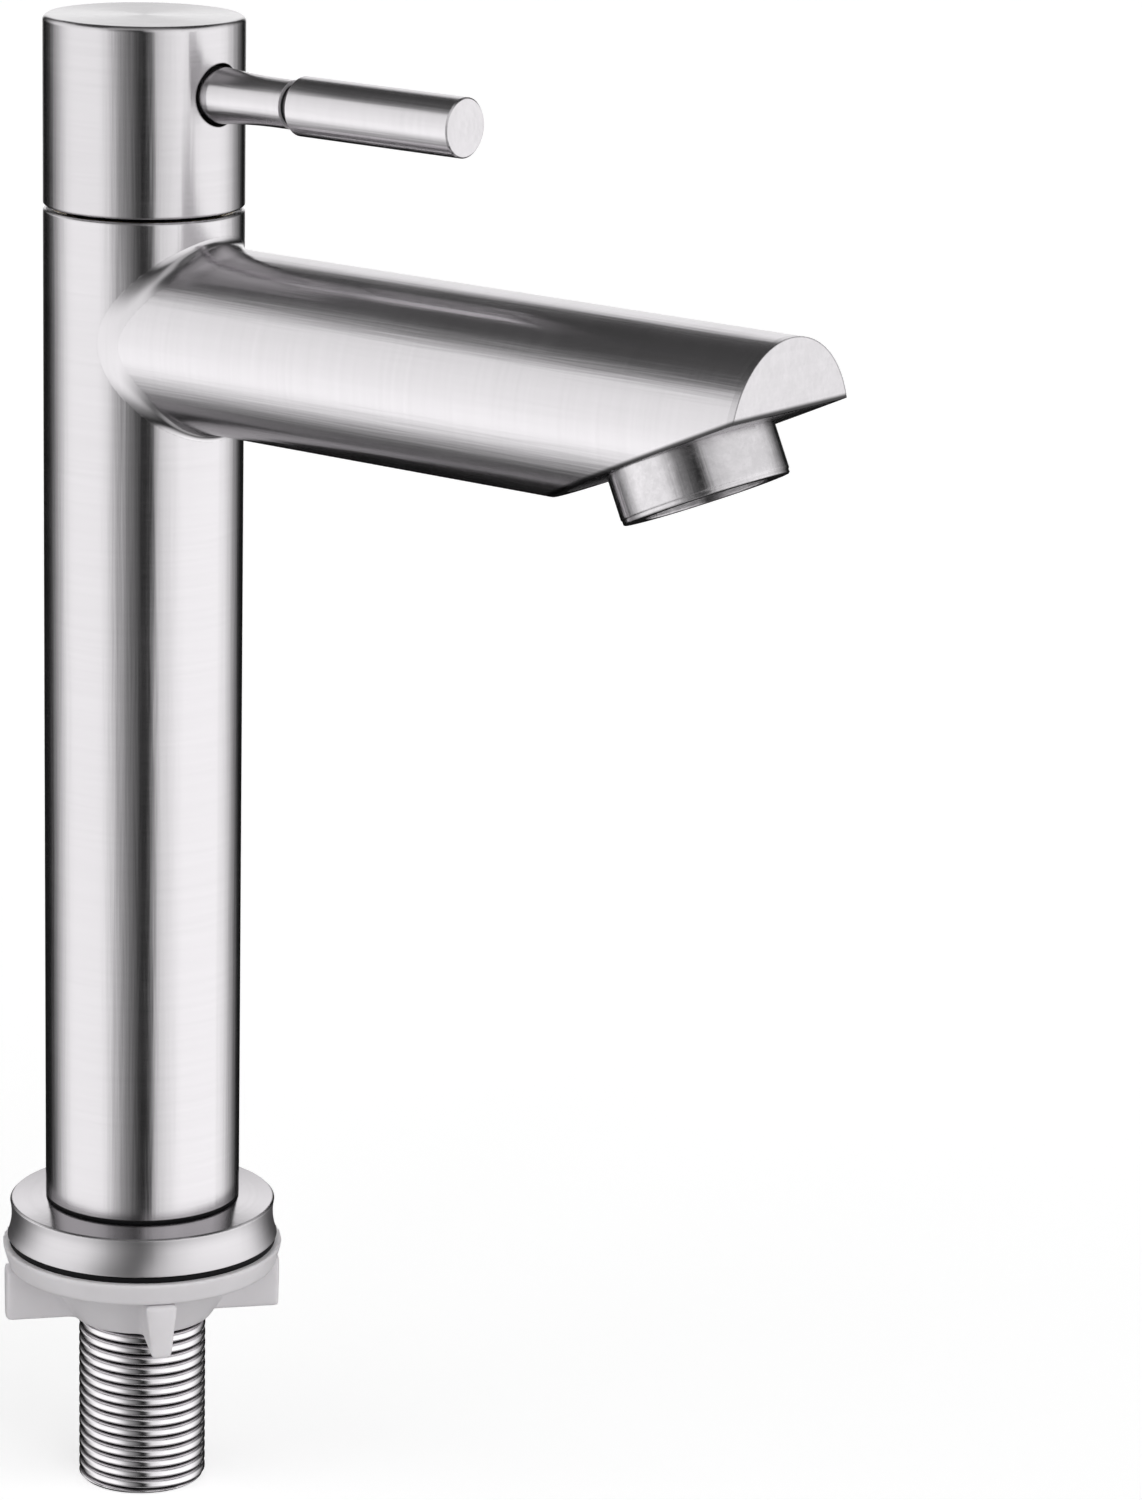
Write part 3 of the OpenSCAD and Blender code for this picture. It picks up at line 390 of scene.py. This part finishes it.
NODES_OF_FINISH = {
    "steel_body": ["column_tube"],
    "steel_handle": ["handle_cap"],
    "steel_lever": ["lever_stem", "lever_grip"],
    "steel_spout": ["spout_tube"],
    "steel_weld": ["spout_weld"],
    "steel_plate": ["spout_end_plate"],
    "steel_outlet": ["spout_outlet_plate"],
    "steel_aerator": ["aerator_housing"],
    "steel_flange": ["base_flange"],
    "steel_thread": ["threaded_shank"],
    "steel_turned": ["base_plug"],
    "steel_mesh": ["aerator_screens"],
    "steel_small": ["stop_washer", "spindle_circlip", "handle_grub_screw"],
    "brass": ["valve_socket", "bonnet", "spindle"],
    "rubber_black": ["base_seal", "deck_gasket", "bonnet_seal", "spindle_o_rings"],
    "rubber_grey": ["aerator_washer", "seat_seal"],
    "plastic_white": ["slip_washer", "wing_nut"],
    "plastic_grey": ["aerator_insert"],
    "plastic_ivory": ["thrust_washer", "spline_bush"],
    "ceramic_white": ["lower_disc", "upper_disc"],
}
for finish, names in NODES_OF_FINISH.items():
    for name in names:
        mesh = nodes[name].data
        mesh.materials.clear()
        mesh.materials.append(materials[finish])


# ---------------------------------------------------------------- new pieces
def new_piece(name, vertices, faces, finish, sharp_angle, body):
    """A smooth piece whose edges sharper than that angle stay sharp."""
    mesh = bpy.data.meshes.new(name)
    mesh.from_pydata(vertices, [], faces)
    mesh.materials.append(materials[finish])
    mesh.polygons.foreach_set("use_smooth", [True] * len(mesh.polygons))
    mesh.update()
    piece = bpy.data.objects.new(name, mesh)
    bpy.context.scene.collection.objects.link(piece)
    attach(piece, body)
    edge_split = piece.modifiers.new("edges", "EDGE_SPLIT")
    edge_split.split_angle = math.radians(sharp_angle)
    return piece


def closed_band(rings, size, turned_over=False):
    """Faces between neighbouring rings of size points each, the last ring joined to the first."""
    faces = []
    for i in range(rings):
        for k in range(size):
            here, there, after = i * size, (i + 1) % rings * size, (k + 1) % size
            a, b, c, d = here + k, here + after, there + after, there + k
            faces.append((a, d, c, b) if turned_over else (a, b, c, d))
    return faces


# ---------------------------------------------------------------- cut thread
def thread_radius(z, turn):
    """A pipe thread of wide round crests and narrow roots, faded out above and cut by the end bevel."""
    phase = (z / THREAD_PITCH + turn) % 1.0
    flank = max(0.0, abs(2.0 * phase - 1.0) - 0.04) / 0.96
    shape = 1.0 - (1.0 - flank) ** 4.5
    fade = min(1.0, max(0.0, -z / 2.0))
    r = THREAD_CREST_R - THREAD_DEPTH * (1.0 - shape) * fade
    return min(r, THREAD_CREST_R - SHANK_BEVEL + (z - shank_low.z / MM))


def thread_piece():
    """The shank with its thread: rings of points up the outside, then down the bore."""
    around, step = 144, THREAD_PITCH / 18
    low, high = shank_low.z / MM, shank_high.z / MM
    outside = [low + i * step for i in range(int((0.6 - low) / step) + 1)] + [high]
    bore = [(high, SHANK_BORE_R), (low + SHANK_BEVEL, SHANK_BORE_R), (low, SHANK_BORE_R + SHANK_BEVEL)]
    rings = [(z, None) for z in outside] + bore
    vertices = []
    for z, bore_r in rings:
        for k in range(around):
            a = 2.0 * math.pi * k / around
            r = bore_r or thread_radius(z, k / around)
            vertices.append((r * math.cos(a) * MM, r * math.sin(a) * MM, z * MM))
    return new_piece("cut_thread", vertices, closed_band(len(rings), around), "steel_thread", 50,
                     "tap_body")


shank = thread_piece()
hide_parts("threaded_shank")


# ---------------------------------------------------------------- ground weld
def weld_section(a, across):
    """Points of the weld's section at angle a round the spout: a hollow arc that meets both tubes flush."""
    column_r = column_high.x / MM
    corner = Vector((math.sqrt(column_r ** 2 - (SPOUT_R * math.cos(a)) ** 2), SPOUT_R * math.cos(a),
                     SPOUT_R * math.sin(a)))
    out_c = Vector((corner.x, corner.y, 0.0)).normalized()
    out_s = Vector((0.0, corner.y, corner.z)).normalized()
    along = out_c.cross(out_s).normalized()
    away_c, away_s = along.cross(out_c), out_s.cross(along)

    # How far it reaches on column and spout: a narrow ring at the sides, longer on top of the spout
    share = math.sin(a) ** 4
    above = math.sin(a) > 0.0
    reach_c = 2.1 + ((1.7 if above else 1.3) - 2.1) * share
    reach_s = 1.9 + ((4.4 if above else 1.9) - 1.9) * share
    edge_c = corner + reach_c * away_c
    flat = Vector((edge_c.x, edge_c.y, 0.0)).normalized() * column_r
    edge_c = Vector((flat.x, flat.y, edge_c.z))
    edge_s = corner + reach_s * away_s
    flat = Vector((0.0, edge_s.y, edge_s.z)).normalized() * SPOUT_R
    edge_s = Vector((edge_s.x, flat.y, flat.z))

    # The curve between both edges is bent by a point that keeps it tangent to the tubes
    round_c = away_c.dot(Vector((-out_c.y, out_c.x, 0.0))) ** 2 / column_r
    round_s = away_s.dot(Vector((0.0, -out_s.z, out_s.y))) ** 2 / SPOUT_R
    bend = corner + out_c * (reach_c ** 2 / 2.0 * round_c) + out_s * (reach_s ** 2 / 2.0 * round_s)
    middle = (out_c + out_s).normalized()
    points = []
    for i in range(across + 1):
        t = i / across
        point = edge_c * (1.0 - t) ** 2 + bend * (2.0 * t * (1.0 - t)) + edge_s * t ** 2
        points.append(point + middle * (0.03 * 4.0 * t * (1.0 - t) - 0.006))
    return points + [corner - middle * 0.5]


def weld_piece():
    around, across = 288, 16
    vertices = [(point.x * MM, point.y * MM, point.z * MM + spout_z)
                for k in range(around) for point in weld_section(2.0 * math.pi * k / around, across)]
    return new_piece("ground_weld", vertices, closed_band(around, across + 2, turned_over=True),
                     "steel_weld", 60, "tap_body")


weld = weld_piece()
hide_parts("spout_weld")


# ---------------------------------------------------------------- moulded plastic
def moulded_copy(name, source, rounds, finish, body):
    """A copy of a CAD solid whose inner and outer corners are rounded as a moulded part's are."""
    mesh = nodes[source].data.copy()
    mesh.name = name
    mesh.materials.clear()
    mesh.materials.append(materials[finish])
    piece = bpy.data.objects.new(name, mesh)
    bpy.context.scene.collection.objects.link(piece)
    remesh = piece.modifiers.new("remesh", "REMESH")
    remesh.mode = "VOXEL"
    remesh.voxel_size = 0.4 * MM
    remesh.use_smooth_shade = True
    smooth = piece.modifiers.new("smooth", "SMOOTH")
    smooth.factor = 0.5
    smooth.iterations = rounds
    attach(piece, body)
    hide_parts(source)


moulded_copy("moulded_nut", "wing_nut", 18, "plastic_white", "nut")
moulded_copy("moulded_washer", "slip_washer", 5, "plastic_white", "washer")


# ---------------------------------------------------------------- camera
scene = bpy.context.scene
scene.view_settings.view_transform = "Standard"

# The camera stands at an azimuth round the tap, and is then turned a little to frame it
CAMERA_AZIMUTH = math.radians(41.9)
CAMERA_DISTANCE, CAMERA_HEIGHT = 854.8 * MM, 309.55 * MM
CAMERA_YAW, CAMERA_PITCH, CAMERA_ROLL = 0.0810, 0.2576, 0.0223

camera_data = bpy.data.cameras.new("camera")
camera_data.sensor_width = 36.0
camera_data.lens = 130.815
camera_data.clip_start = 0.01
camera = bpy.data.objects.new("camera", camera_data)
scene.collection.objects.link(camera)
scene.camera = camera
camera_place = Vector((math.sin(CAMERA_AZIMUTH) * CAMERA_DISTANCE,
                       -math.cos(CAMERA_AZIMUTH) * CAMERA_DISTANCE, CAMERA_HEIGHT))
camera.matrix_world = (Matrix.Translation(camera_place)
                       @ Matrix.Rotation(CAMERA_AZIMUTH - CAMERA_YAW, 4, "Z")
                       @ Matrix.Rotation(math.pi / 2 - CAMERA_PITCH, 4, "X")
                       @ Matrix.Rotation(CAMERA_ROLL, 4, "Z"))


# ---------------------------------------------------------------- studio
def band(g, value, a, b, c, d):
    """0 below a, 1 from b to c, 0 above d."""
    return g.times(g.ramp(value, a, b), g.ramp(value, c, d, 1.0, 0.0))


def studio_light(g):
    """The room that the steel reflects, by bearing and pitch in degrees.

    A bearing of 0 is towards the photograph's camera, and bearings grow to its right. Two tall bright
    panels stand left and right with a dark gap between them, and a bright sheet stands behind the tap.
    """
    ray = g.add("TexCoord", out=0)
    sideways = g.dot(ray, (math.cos(CAMERA_AZIMUTH), math.sin(CAMERA_AZIMUTH), 0.0))
    forward = g.dot(ray, (math.sin(CAMERA_AZIMUTH), -math.cos(CAMERA_AZIMUTH), 0.0))
    up = g.add("SeparateXYZ", {0: ray}, out=2)
    bearing = g.times(g.math("ARCTAN2", sideways, forward), 180.0 / math.pi)
    pitch = g.times(g.math("ARCSINE", up), 180.0 / math.pi)
    off_front = g.math("ABSOLUTE", bearing)

    # The panels' height, and their light, which is stronger low down
    upright = g.times(g.ramp(pitch, -68, -19), g.ramp(pitch, 30, 50, 1.0, 0.0),
                      g.ramp(pitch, -25, 30, 1.12, 0.78, "LINEAR"))
    # The gap between them leans, and each edge is part steep and part gradual
    leaning = g.plus(bearing, g.ramp(pitch, -12, 14, 0.0, 10.0, "LINEAR"))
    left_start = g.mix_number(g.ramp(pitch, -9, 6), g.ramp(bearing, -140, -88), g.ramp(bearing, -158, -115))
    left_end = g.mix_number(0.5, g.ramp(leaning, -40, -1, 1.0, 0.0, "LINEAR"),
                            g.ramp(leaning, -50, -25, 1.0, 0.0, "LINEAR"))
    right_start = g.mix_number(0.55, g.ramp(leaning, 8, 46, 0.0, 1.0, "LINEAR"), g.ramp(leaning, 4, 20))
    right_end = g.ramp(bearing, 95, 152, 1.0, 0.0)
    left_panel = g.times(left_start, left_end, 1.2, upright)
    right_panel = g.times(right_start, right_end, 1.29, upright)

    backdrop = g.times(g.ramp(off_front, 158, 170), band(g, pitch, -12, -2, 22, 34), 1.75)
    overhead = g.times(g.ramp(off_front, 42, 72, 1.0, 0.0), band(g, pitch, 34, 48, 56, 70), 0.5)
    room = g.ramp(pitch, -5, 45, 0.012, 0.062)
    ceiling = g.ramp(pitch, 64, 80, 0.0, 0.12)
    ground = g.ramp(pitch, -74, -56, 0.45, 0.0)
    return g.plus(left_panel, right_panel, backdrop, overhead, room, ceiling, ground)


world = bpy.data.worlds.new("studio")
scene.world = world
world.use_nodes = True
world.node_tree.nodes.clear()
g = Graph(world.node_tree)
seen = g.add("LightPath", out=None).outputs["Is Camera Ray"]
studio = g.add("Background", {"Color": rgba(1.0), "Strength": studio_light(g)})
white = g.add("Background", {"Color": rgba(1.0), "Strength": 1.0})
g.tree.links.new(g.add("MixShader", {0: seen, 1: studio, 2: white}),
                 g.add("OutputWorld", out=None).inputs["Surface"])
world.cycles.sampling_method = "MANUAL"
world.cycles.sample_map_resolution = 1024


def soft_lamp(name, bearing, pitch, strength):
    """A wide soft lamp for the plastic and rubber; the steel shows the studio alone."""
    lamp = bpy.data.lights.new(name, "SUN")
    lamp.energy = strength
    lamp.angle = math.radians(70)
    lamp_object = bpy.data.objects.new(name, lamp)
    scene.collection.objects.link(lamp_object)
    turn, lift = CAMERA_AZIMUTH + math.radians(bearing), math.radians(pitch)
    towards = Vector((math.sin(turn) * math.cos(lift), -math.cos(turn) * math.cos(lift), math.sin(lift)))
    lamp_object.rotation_euler = towards.to_track_quat("Z", "Y").to_euler()
    lamp_object.visible_glossy = False


soft_lamp("soft_left", -60, 35, 0.47)
soft_lamp("soft_right", 50, 35, 0.52)
soft_lamp("soft_front", 5, 15, 0.7)

# ---------------------------------------------------------------- floor
FLOOR_REACH = 6.0
floor_z = shank_low.z - 0.1 * MM
floor_mesh = bpy.data.meshes.new("floor")
floor_mesh.from_pydata([(x * FLOOR_REACH, y * FLOOR_REACH, floor_z)
                        for x, y in ((-1, -1), (1, -1), (1, 1), (-1, 1))], [], [(0, 1, 2, 3)])
floor = bpy.data.objects.new("floor", floor_mesh)
scene.collection.objects.link(floor)
floor.visible_glossy = False

# Pale paper that looks white to the camera and is clear from below
g = new_material("floor_paper")
seen = g.add("LightPath", out=None).outputs["Is Camera Ray"]
paper = g.add("BsdfDiffuse", {"Color": rgba(0.85)})
glow = g.add("Emission", {"Color": rgba(1.0), "Strength": g.times(seen, 0.46)})
lit = g.add("AddShader", {0: paper, 1: glow})
under = g.add("NewGeometry", out=None).outputs["Backfacing"]
finish_material(g, g.add("MixShader", {0: under, 1: lit, 2: g.add("BsdfTransparent")}))
floor_mesh.materials.append(materials["floor_paper"])

bpy.context.view_layer.update()
